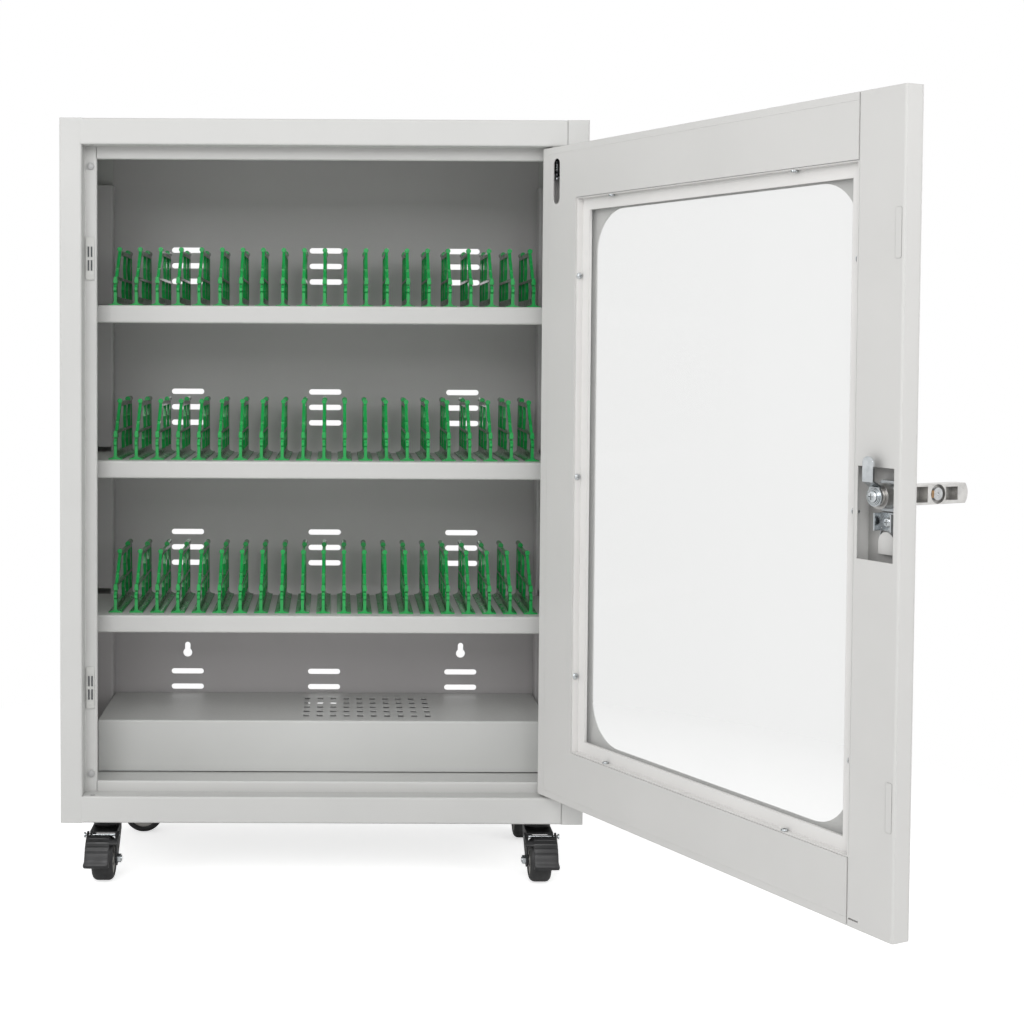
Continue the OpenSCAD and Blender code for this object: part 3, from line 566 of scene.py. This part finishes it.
@dataclass(frozen=True)
class ClearPane:
    """Clear pane: thin glass that passes straight light and mirrors at a low angle.

    Attributes:
        name: Name of the material.
        tint: Colour of what passes through.
    """

    name: str
    tint: Colour

    def make(self) -> bpy.types.Material:
        """Builds the material.

        Returns:
            The material.
        """
        n = Nodes(self.name)
        smear = n.spread(n.noise(24.0, 4.0), 0.4, 0.7, 0.02, 0.06)
        n.join(smear, n.shader.inputs["Roughness"])
        n.shader.inputs["Base Color"].default_value = (*self.tint, 1.0)
        n.shader.inputs["Specular IOR Level"].default_value = 0.5
        clear = n.add("ShaderNodeBsdfTransparent", in_0=(*self.tint, 1.0))
        facing = n.add("ShaderNodeLayerWeight", in_0=0.25)
        share = n.spread(facing.outputs["Facing"], 0.0, 1.0, 0.03, 0.35)
        mix = n.add("ShaderNodeMixShader")
        n.join(share, mix.inputs[0])
        n.join(clear.outputs[0], mix.inputs[1])
        n.join(n.shader.outputs[0], mix.inputs[2])
        n.join(mix.outputs[0], n.tree.nodes["Material Output"].inputs["Surface"])
        return n.material


class Finish(Enum):
    """The finishes of the cabinet."""

    BODY = PowderCoat("body_powder_coat", (0.615, 0.615, 0.602))
    INSIDE = PowderCoat("inside_powder_coat", (0.62, 0.60, 0.605), 0.36)
    COVER = PowderCoat("cover_powder_coat", (0.65, 0.655, 0.64), 0.36)
    # The door's painted corner shade is deep and falls only past 0.475 m from the hinge edge, over the
    # pocket.
    DOOR = PowderCoat("door_powder_coat", (0.665, 0.66, 0.645), 0.44, reach=0.022, least=0.3,
                      past_u=0.475)
    BEAD = PowderCoat("bead_powder_coat", (0.80, 0.79, 0.775), 0.44, least=0.9)
    # The second green is a darker copy painted on the dividers' broad sides as their shade.
    GREEN = DividerPlastic("green_dividers", (0.012, 0.33, 0.072), (0.02, 0.085, 0.02))
    BLACK = MouldedPlastic("black_plastic", (0.012, 0.012, 0.013), (0.02, 0.02, 0.021), 0.4, 0.00003, 900.0)
    ENAMEL = PowderCoat("black_enamel", (0.016, 0.016, 0.017), 0.35, 0.00001, 0.0006)
    TREAD = MouldedPlastic("wheel_tread", (0.014, 0.014, 0.015), (0.03, 0.03, 0.03), 0.55, 0.00005, 500.0)
    HUB = MouldedPlastic("wheel_hub", (0.50, 0.49, 0.46), (0.42, 0.41, 0.39), 0.4)
    BUMPER = MouldedPlastic("soft_bumper", (0.42, 0.42, 0.42), (0.5, 0.5, 0.5), 0.3)
    WHITE = MouldedPlastic("white_plastic", (0.62, 0.62, 0.6), (0.55, 0.55, 0.53), 0.35)
    MAGNET = MouldedPlastic("magnet_poles", (0.05, 0.055, 0.06), (0.1, 0.1, 0.11), 0.4)
    ZINC = PlatedSteel("zinc_plate", (0.74, 0.77, 0.79), (0.58, 0.62, 0.64), 0.2)
    CAST = PlatedSteel("cast_lock_metal", (0.72, 0.71, 0.69), (0.60, 0.59, 0.575), 0.36)
    STEEL = PlatedSteel("bright_steel", (0.7, 0.71, 0.72), (0.6, 0.61, 0.62), 0.2)
    PANE = ClearPane("clear_pane", (0.935, 0.937, 0.935))


class Paint:
    """Keeps one material of each finish and puts it on pieces."""

    made: dict[Finish, bpy.types.Material] = {}

    @classmethod
    def get(cls, finish: Finish) -> bpy.types.Material:
        """Returns the finish's material, built once."""
        if finish not in cls.made:
            cls.made[finish] = finish.value.make()
        return cls.made[finish]

    @classmethod
    def on(cls, piece: bpy.types.Object, finish: Finish) -> None:
        """Gives a piece one finish all over.

        Args:
            piece: The object.
            finish: Its finish.
        """
        piece.data.materials.clear()
        piece.data.materials.append(cls.get(finish))

    @classmethod
    def nodes(cls, finish: Finish, *names: str) -> None:
        """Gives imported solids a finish.

        Args:
            finish: Their finish.
            *names: Names of the solids.
        """
        for name in names:
            cls.on(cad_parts[name], finish)


def dress(piece: bpy.types.Object, finish: Finish, body: str) -> bpy.types.Object:
    """Paints a new piece and lets it ride on its body.

    Args:
        piece: The new piece.
        finish: Its finish.
        body: Body that it moves with.

    Returns:
        The piece.
    """
    Paint.on(piece, finish)
    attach(piece, body)
    return piece


# ---- Sub-assemblies ----


@dataclass
class Carcass:
    """Body of the cabinet: outer sheets, floor, posts, bumpers, catches and bushes.

    Attributes:
        outer: Sheets that show outside.
        inner: Sheets that show inside.
        front_y: Plane of the front sheets.
        weld_x: Joint of the left stile and the rails.
        weld_spans: Lower and upper end of each weld, by its name.
        weld_half: Half width and half depth of a weld.
        weld_sink: Middle of a weld behind the front plane.
    """

    outer: tuple[str, ...] = ("left_side_panel", "right_side_panel", "top_panel", "bottom_panel")
    inner: tuple[str, ...] = ("back_panel", "rear_posts", "shelf_brackets")
    front_y: float = -0.13
    weld_x: float = -0.2655
    weld_spans: tuple[tuple[str, float, float], ...] = (
        ("weld_left_top", 0.8195, 0.8476),
        ("weld_left_bottom", 0.0704, 0.0995),
    )
    weld_half: tuple[float, float] = (0.0018, 0.0008)
    weld_sink: float = 0.00079

    def weld(self, name: str, low: float, high: float) -> None:
        """Makes one dressed weld: a thin rounded strip that fills the joint of stile and rail.

        One rounded box section is carried up along the joint, flush with the front sheets.

        Args:
            name: Name of the weld.
            low: Lower end.
            high: Upper end.
        """
        half_w, half_h = self.weld_half
        ring = rounded_section(np.array([half_w]), np.array([half_h]), 6.0, 24)[0]
        rings = [np.stack([self.weld_x + ring[:, 0], self.front_y + self.weld_sink + ring[:, 1],
                           np.full(len(ring), z)], -1) for z in np.linspace(low, high, 4)]
        dress(solid(name, [(capped(np.stack(rings)), False, True)]), Finish.BODY, "cabinet")

    def dress(self) -> None:
        """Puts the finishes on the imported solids."""
        Paint.nodes(Finish.BODY, *self.outer)
        Paint.nodes(Finish.INSIDE, *self.inner)
        Paint.nodes(Finish.COVER, "power_cover", "floor_panel")
        Paint.nodes(Finish.BUMPER, "door_bumpers")
        Paint.nodes(Finish.WHITE, "catch_bodies", "hinge_bushes")
        Paint.nodes(Finish.MAGNET, "catch_magnets")
        for name, low, high in self.weld_spans:
            self.weld(name, low, high)
        LOG.info("carcass: %d sheets dressed", len(self.outer) + len(self.inner))


@dataclass
class ShelfStack:
    """Three shelves with their rows of dividers."""

    levels: tuple[str, ...] = ("upper", "middle", "lower")

    def dress(self) -> None:
        """Puts the finishes on shelves and dividers."""
        for level in self.levels:
            Paint.nodes(Finish.BODY, f"shelf_{level}")
            Paint.nodes(Finish.GREEN, f"dividers_{level}")
            LOG.info("shelf and dividers: %s", level)


@dataclass(frozen=True)
class CasterPlace:
    """Where a caster stands.

    Attributes:
        name: Place name.
        swivel: Swivel axis, X and Y.
        heading_deg: Turn of the wheel about the swivel.
        hand: 1, or -1 where the caster is mirrored.
    """

    name: str
    swivel: tuple[float, float]
    heading_deg: float = 0.0
    hand: int = 1

    def carry(self, local: np.ndarray) -> np.ndarray:
        """Carries points from the swivel's own axes to the room."""
        a = math.radians(self.heading_deg)
        return basis(local, (*self.swivel, 0.0), (self.hand * math.cos(a), self.hand * math.sin(a), 0),
                     (-math.sin(a), math.cos(a), 0), (0, 0, 1))


@dataclass
class Casters:
    """Four swivel casters: forks from the frame, with moulded wheels and pedals.

    Attributes:
        wheel_r: Radius of a wheel.
        half_w: Half width of a wheel.
        trail: Axle behind the swivel.
        pedal_r: Radius of the pedal's middle about the axle.
        pin: Brake pin in the swivel's axes, Y and Z.
    """

    wheel_r: float = 0.024
    half_w: float = 0.012
    trail: float = 0.023
    pedal_r: float = 0.0292
    pin: tuple[float, float] = (-0.026, 0.051)
    places: tuple[CasterPlace, ...] = (
        CasterPlace("front_left", (-0.2445, -0.084)),
        CasterPlace("front_right", (0.2445, -0.084), hand=-1),
        CasterPlace("rear_left", (-0.2445, 0.084), 90.0),
        CasterPlace("rear_right", (0.2445, 0.084)),
    )

    def wheel(self, place: CasterPlace) -> None:
        """Makes the tyre and the pale hub of one wheel.

        The tyre's profile is a flat tread between two shoulder arcs; the hub's is a dished disc
        with a raised ring and a boss. Both are turned about the axle.

        Args:
            place: The caster.
        """
        r, w = self.wheel_r, self.half_w
        shoulder = 0.0062
        right = arc((r - shoulder, w - shoulder), shoulder, 0, 82, 8)
        tyre = np.concatenate([[[r * 0.70, -w + 0.0016]], (right * [1, -1])[::-1], right,
                               [[r * 0.70, w - 0.0016]]])
        side = np.array([[0.70, 0.0016], [0.66, 0.0032], [0.45, 0.0038], [0.42, 0.0016],
                         [0.34, 0.0013], [0.31, 0.0034], [0.26, 0.0034], [0.24, 0.0], [0.127, 0.0]])
        half = np.stack([side[:, 0] * r, w - side[:, 1]], -1)
        hub = np.concatenate([half, (half * [1, -1])[::-1]])
        for part, profile, finish in (("tyre", tyre, Finish.TREAD), ("hub", hub, Finish.HUB)):
            turned = lathe(profile, 64)
            local = np.stack([turned[..., 2], turned[..., 0] - self.trail, turned[..., 1] + r], -1)
            piece = solid(f"wheel_{part}_{place.name}", [(place.carry(local), part == "hub", True)]
                          if part == "hub" else [(place.carry(local), True, True)])
            dress(piece, finish, f"roller_{place.name}")
            if part == "tyre":
                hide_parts(f"wheel_{place.name}")

    def pedal(self, place: CasterPlace) -> None:
        """Makes one brake pedal: a ribbed hood that widens to a thick lip, and its two ears.

        The hood's sections are rounded boxes set square to an arc about the axle. Their
        thickness rises to the lip, and a raised cosine adds the ribs.

        Args:
            place: The caster.
        """
        t = np.linspace(0, 1, 61)
        angle = np.radians(110 + 74 * t)
        lip = np.exp(-(((t - 0.93) / 0.085) ** 2))
        ribs = 0.0006 * np.maximum(0, np.cos(2 * np.pi * t * 7)) ** 3 * (t > 0.1) * (t < 0.62)
        thick = 0.0019 + 0.0026 * lip + ribs
        left, right = -0.0183 - 0.0012 * lip, 0.0088 + 0.0 * t - 0.002 * (t < 0.06)
        section = rounded_section((right - left) / 2, thick, 5.0, 36)
        x = section[..., 0] + ((left + right) / 2)[:, None]
        radius = self.pedal_r + section[..., 1]
        y = -self.trail + radius * np.cos(angle)[:, None]
        z = self.wheel_r + radius * np.sin(angle)[:, None]
        grids = [(place.carry(capped(np.stack([x, y, z], -1))), False, True)]
        for x0, x1 in ((-0.0185, -0.0166), (0.0155, 0.0174)):
            grids.append((place.carry(self.ear(x0, x1)), False, True))
        grids.append((place.carry(self.bridge()), False, True))
        piece = solid(f"pedal_{place.name}", grids)
        dress(piece, Finish.BLACK, f"pedal_{place.name}")
        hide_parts(f"brake_{place.name}")

    def ear(self, x0: float, x1: float) -> np.ndarray:
        """Outline of an ear, a drop shape round the pin drawn out to the hood, given a thickness.

        Args:
            x0: Inner face.
            x1: Outer face.

        Returns:
            Grid of points in the swivel's axes.
        """
        a = np.linspace(0, 2 * np.pi, 40, endpoint=False)
        reach = 0.0042 + 0.0085 * np.maximum(0, np.cos(a - math.radians(205))) ** 6
        y, z = self.pin[0] + reach * np.cos(a), self.pin[1] + reach * np.sin(a)
        rings = [np.stack([np.full_like(a, x), y, z], -1) for x in (x0, x1)]
        return capped(np.stack(rings))

    def bridge(self) -> np.ndarray:
        """Bar from the hood to the inner ear: one rounded section carried along X."""
        along = np.linspace(0.006, 0.0172, 5)
        ring = rounded_section(np.array([0.0016]), np.array([0.0036]), 4.0, 24)[0]
        tilt = math.radians(128)
        out = self.pedal_r + ring[:, 0]
        y = -self.trail + out * math.cos(tilt) - ring[:, 1] * math.sin(tilt)
        z = self.wheel_r + out * math.sin(tilt) + ring[:, 1] * math.cos(tilt)
        rings = [np.stack([np.full_like(y, x), y, z], -1) for x in along]
        return capped(np.stack(rings))

    def dress(self) -> None:
        """Puts the finishes on the forks and makes wheels and pedals."""
        Paint.nodes(Finish.ENAMEL, "caster_plates")
        Paint.nodes(Finish.ZINC, "caster_bolts")
        for place in self.places:
            Paint.nodes(Finish.ENAMEL, f"fork_{place.name}")
            Paint.nodes(Finish.ZINC, f"axle_{place.name}")
            self.wheel(place)
            if place.name.startswith("front"):
                self.pedal(place)
            LOG.info("caster: %s", place.name)


@dataclass
class GlazedDoor:
    """Door leaf with its pane, hinge pins and strikes."""

    def dress(self) -> None:
        """Puts the finishes on the door."""
        Paint.nodes(Finish.DOOR, "door_skin", "door_inner_panel", "door_lock_stile", "finger_cup",
                    "strike_plates")
        Paint.nodes(Finish.BEAD, "glazing_frame")
        Paint.nodes(Finish.PANE, "window_pane")
        Paint.nodes(Finish.ZINC, "glazing_screws", "pin_spring", "lower_hinge_pin",
                    "upper_hinge_pin")
        Paint.nodes(Finish.ENAMEL, "pin_guide")
        LOG.info("door dressed")


@dataclass
class HandleLock:
    """Fold-out handle lock with its cam and keys.

    Attributes:
        tongue_u: Least distance of the brass tongue from the hinge edge.
        tongue_s: Least distance of the brass tongue behind the outer face.
        brass: Colour of the tongue.
    """

    tongue_u: float = 0.5018
    tongue_s: float = -0.0442
    brass: Colour = (0.42, 0.27, 0.15)

    def tongue(self, key: bpy.types.Object) -> None:
        """Gives the cylinder's tongue a brass tone, where both of the door's measures pass a limit.

        Each measure is the dot product of the place with a door axis, less that of the limit.

        Args:
            key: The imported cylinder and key.
        """
        n = Nodes("cylinder_and_key")
        n.shader.inputs["Metallic"].default_value = 1.0
        inside = n.add("ShaderNodeMath", operation="MULTIPLY")
        n.join(n.past(LEAF.along, self.tongue_u - LEAF.inset), inside.inputs[0])
        n.join(n.past(LEAF.inward, self.tongue_s - LEAF.depth), inside.inputs[1])
        steel = Finish.STEEL.value
        worn = n.blend(n.spread(n.noise(260.0, 3.0), 0.35, 0.7, 0, 1), steel.colour, steel.second)
        mix = n.add("ShaderNodeMix", data_type="RGBA")
        mix.inputs[7].default_value = (*self.brass, 1.0)
        n.join(worn, mix.inputs[6])
        n.join(inside.outputs[0], mix.inputs[0])
        n.join(mix.outputs[2], n.shader.inputs["Base Color"])
        n.join(n.spread(n.noise(300.0, 3.0), 0.3, 0.7, 0.18, 0.3), n.shader.inputs["Roughness"])
        n.relief(n.noise(900.0, 3.0), 0.000012, 0.0003)
        key.data.materials.clear()
        key.data.materials.append(n.material)

    def dress(self) -> None:
        """Puts the finishes on the lock."""
        Paint.nodes(Finish.CAST, "escutcheon", "lock_barrel", "lock_spindle", "handle_lever")
        Paint.nodes(Finish.ZINC, "lock_nut", "lock_clip", "lock_cam", "cam_screw")
        Paint.nodes(Finish.STEEL, "lock_key", "key_ring", "spare_key")
        self.tongue(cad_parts["lock_key"])
        LOG.info("lock dressed")


# ---- Studio ----


@dataclass
class Studio:
    """Pale floor, soft light and the camera.

    Attributes:
        eye: Place of the camera.
        turn_deg: Turn of the camera about X, Y and Z.
        lens_mm: Focal length on a 36 mm wide picture.
        shift: Shift of the picture, across and up.
        floor_size: Half size of the floor.
        glow: Light that the floor adds to what the camera sees of it.
        plain_from: Distance from the middle where the floor starts to turn plain white.
        plain_at: Distance from the middle where it is plain white.
    """

    eye: tuple[float, float, float] = (0.0149, -1.9615, 0.5992)
    turn_deg: tuple[float, float, float] = (87.772, -0.273, -0.198)
    lens_mm: float = 58.615
    shift: tuple[float, float] = (0.16492, -0.09785)
    floor_size: float = 6.0
    glow: float = 0.62
    plain_from: float = 0.45
    plain_at: float = 0.95

    def camera(self) -> None:
        """Sets the camera, looking towards the back and a little down."""
        data = bpy.data.cameras.new("camera")
        data.lens = self.lens_mm
        data.sensor_width = 36.0
        data.shift_x, data.shift_y = self.shift
        eye = bpy.data.objects.new("camera", data)
        eye.location = self.eye
        eye.rotation_euler = [math.radians(angle) for angle in self.turn_deg]
        bpy.context.scene.collection.objects.link(eye)
        bpy.context.scene.camera = eye

    def floor(self) -> None:
        """Lays the floor: white to the camera, but keeping the shadow near the cabinet."""
        h = self.floor_size
        corner = np.array([[[-h, -h, 0], [h, -h, 0]], [[-h, h, 0], [h, h, 0]]], float)
        mesh = bpy.data.meshes.new("studio_floor")
        mesh.from_pydata(corner.reshape(-1, 3).tolist(), [], [[0, 1, 3, 2]])
        floor = bpy.data.objects.new("studio_floor", mesh)
        bpy.context.scene.collection.objects.link(floor)
        n = Nodes("studio_floor")
        n.shader.inputs["Base Color"].default_value = (0.86, 0.86, 0.86, 1)
        n.shader.inputs["Roughness"].default_value = 0.9
        n.shader.inputs["Specular IOR Level"].default_value = 0.0
        ray = n.add("ShaderNodeLightPath")
        seen = n.add("ShaderNodeMath", operation="MAXIMUM")
        n.join(ray.outputs["Is Camera Ray"], seen.inputs[0])
        n.join(ray.outputs["Is Transmission Ray"], seen.inputs[1])
        glow = n.add("ShaderNodeEmission", in_0=(1, 1, 1, 1))
        n.join(n.spread(seen.outputs[0], 0, 1, 0, self.glow), glow.inputs[1])
        both = n.add("ShaderNodeAddShader")
        n.join(n.shader.outputs[0], both.inputs[0])
        n.join(glow.outputs[0], both.inputs[1])
        away = n.add("ShaderNodeVectorMath", operation="LENGTH")
        n.join(n.object_place(), away.inputs[0])
        far = n.add("ShaderNodeMath", operation="MULTIPLY")
        n.join(n.spread(away.outputs["Value"], self.plain_from, self.plain_at, 0, 1), far.inputs[0])
        n.join(seen.outputs[0], far.inputs[1])
        white = n.add("ShaderNodeEmission", in_0=(1, 1, 1, 1), in_1=1.0)
        out = n.add("ShaderNodeMixShader")
        n.join(far.outputs[0], out.inputs[0])
        n.join(both.outputs[0], out.inputs[1])
        n.join(white.outputs[0], out.inputs[2])
        n.join(out.outputs[0], n.tree.nodes["Material Output"].inputs["Surface"])
        mesh.materials.append(n.material)

    def sky(self, level: float = 0.56) -> None:
        """Sets the world: plain soft light, and white where it is seen or mirrored.

        Args:
            level: Brightness of the soft light.
        """
        world = bpy.data.worlds.new("studio")
        world.use_nodes = True
        bpy.context.scene.world = world
        tree = world.node_tree
        ray = tree.nodes.new("ShaderNodeLightPath")
        seen = tree.nodes.new("ShaderNodeMath")
        seen.operation = "MAXIMUM"
        both = tree.nodes.new("ShaderNodeMath")
        both.operation = "MAXIMUM"
        tree.links.new(ray.outputs["Is Camera Ray"], seen.inputs[0])
        tree.links.new(ray.outputs["Is Glossy Ray"], seen.inputs[1])
        tree.links.new(seen.outputs[0], both.inputs[0])
        tree.links.new(ray.outputs["Is Transmission Ray"], both.inputs[1])
        strength = tree.nodes.new("ShaderNodeMapRange")
        tree.links.new(both.outputs[0], strength.inputs[0])
        strength.inputs[3].default_value = level
        strength.inputs[4].default_value = 1.0
        tree.nodes["Background"].inputs[0].default_value = (1, 1, 1, 1)
        tree.links.new(strength.outputs[0], tree.nodes["Background"].inputs[1])

    def lamp(self, name: str, place: tuple[float, float, float], aim: tuple[float, float, float],
             size: float, watts: float) -> None:
        """Adds one soft square lamp.

        Args:
            name: Name of the lamp.
            place: Where it hangs.
            aim: Where it points.
            size: Edge of the square.
            watts: Power.
        """
        data = bpy.data.lights.new(name, "AREA")
        data.size = size
        data.energy = watts
        lamp = bpy.data.objects.new(name, data)
        lamp.location = place
        lamp.rotation_euler = (Vector(aim) - Vector(place)).to_track_quat("-Z", "Y").to_euler()
        bpy.context.scene.collection.objects.link(lamp)

    def build(self) -> None:
        """Builds the floor, light and camera."""
        self.camera()
        self.floor()
        self.sky()
        self.lamp("front_box", (-0.3, -3.0, 2.05), (0, 0, 0.48), 1.9, 41)
        self.lamp("left_box", (-2.4, -1.3, 1.5), (0.4, -0.4, 0.5), 1.2, 14)
        self.lamp("right_box", (2.6, -1.6, 1.6), (0.2, -0.2, 0.5), 1.4, 14)
        LOG.info("studio ready")


def main() -> None:
    """Builds the finishes, fine pieces and studio in order."""
    logging.basicConfig(level=logging.INFO, format="%(message)s")
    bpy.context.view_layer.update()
    scene = bpy.context.scene
    scene.view_settings.view_transform = "Standard"
    for part in (Carcass(), ShelfStack(), Casters(), GlazedDoor(), HandleLock()):
        part.dress()
    Studio().build()


if __name__ == "__main__":
    main()
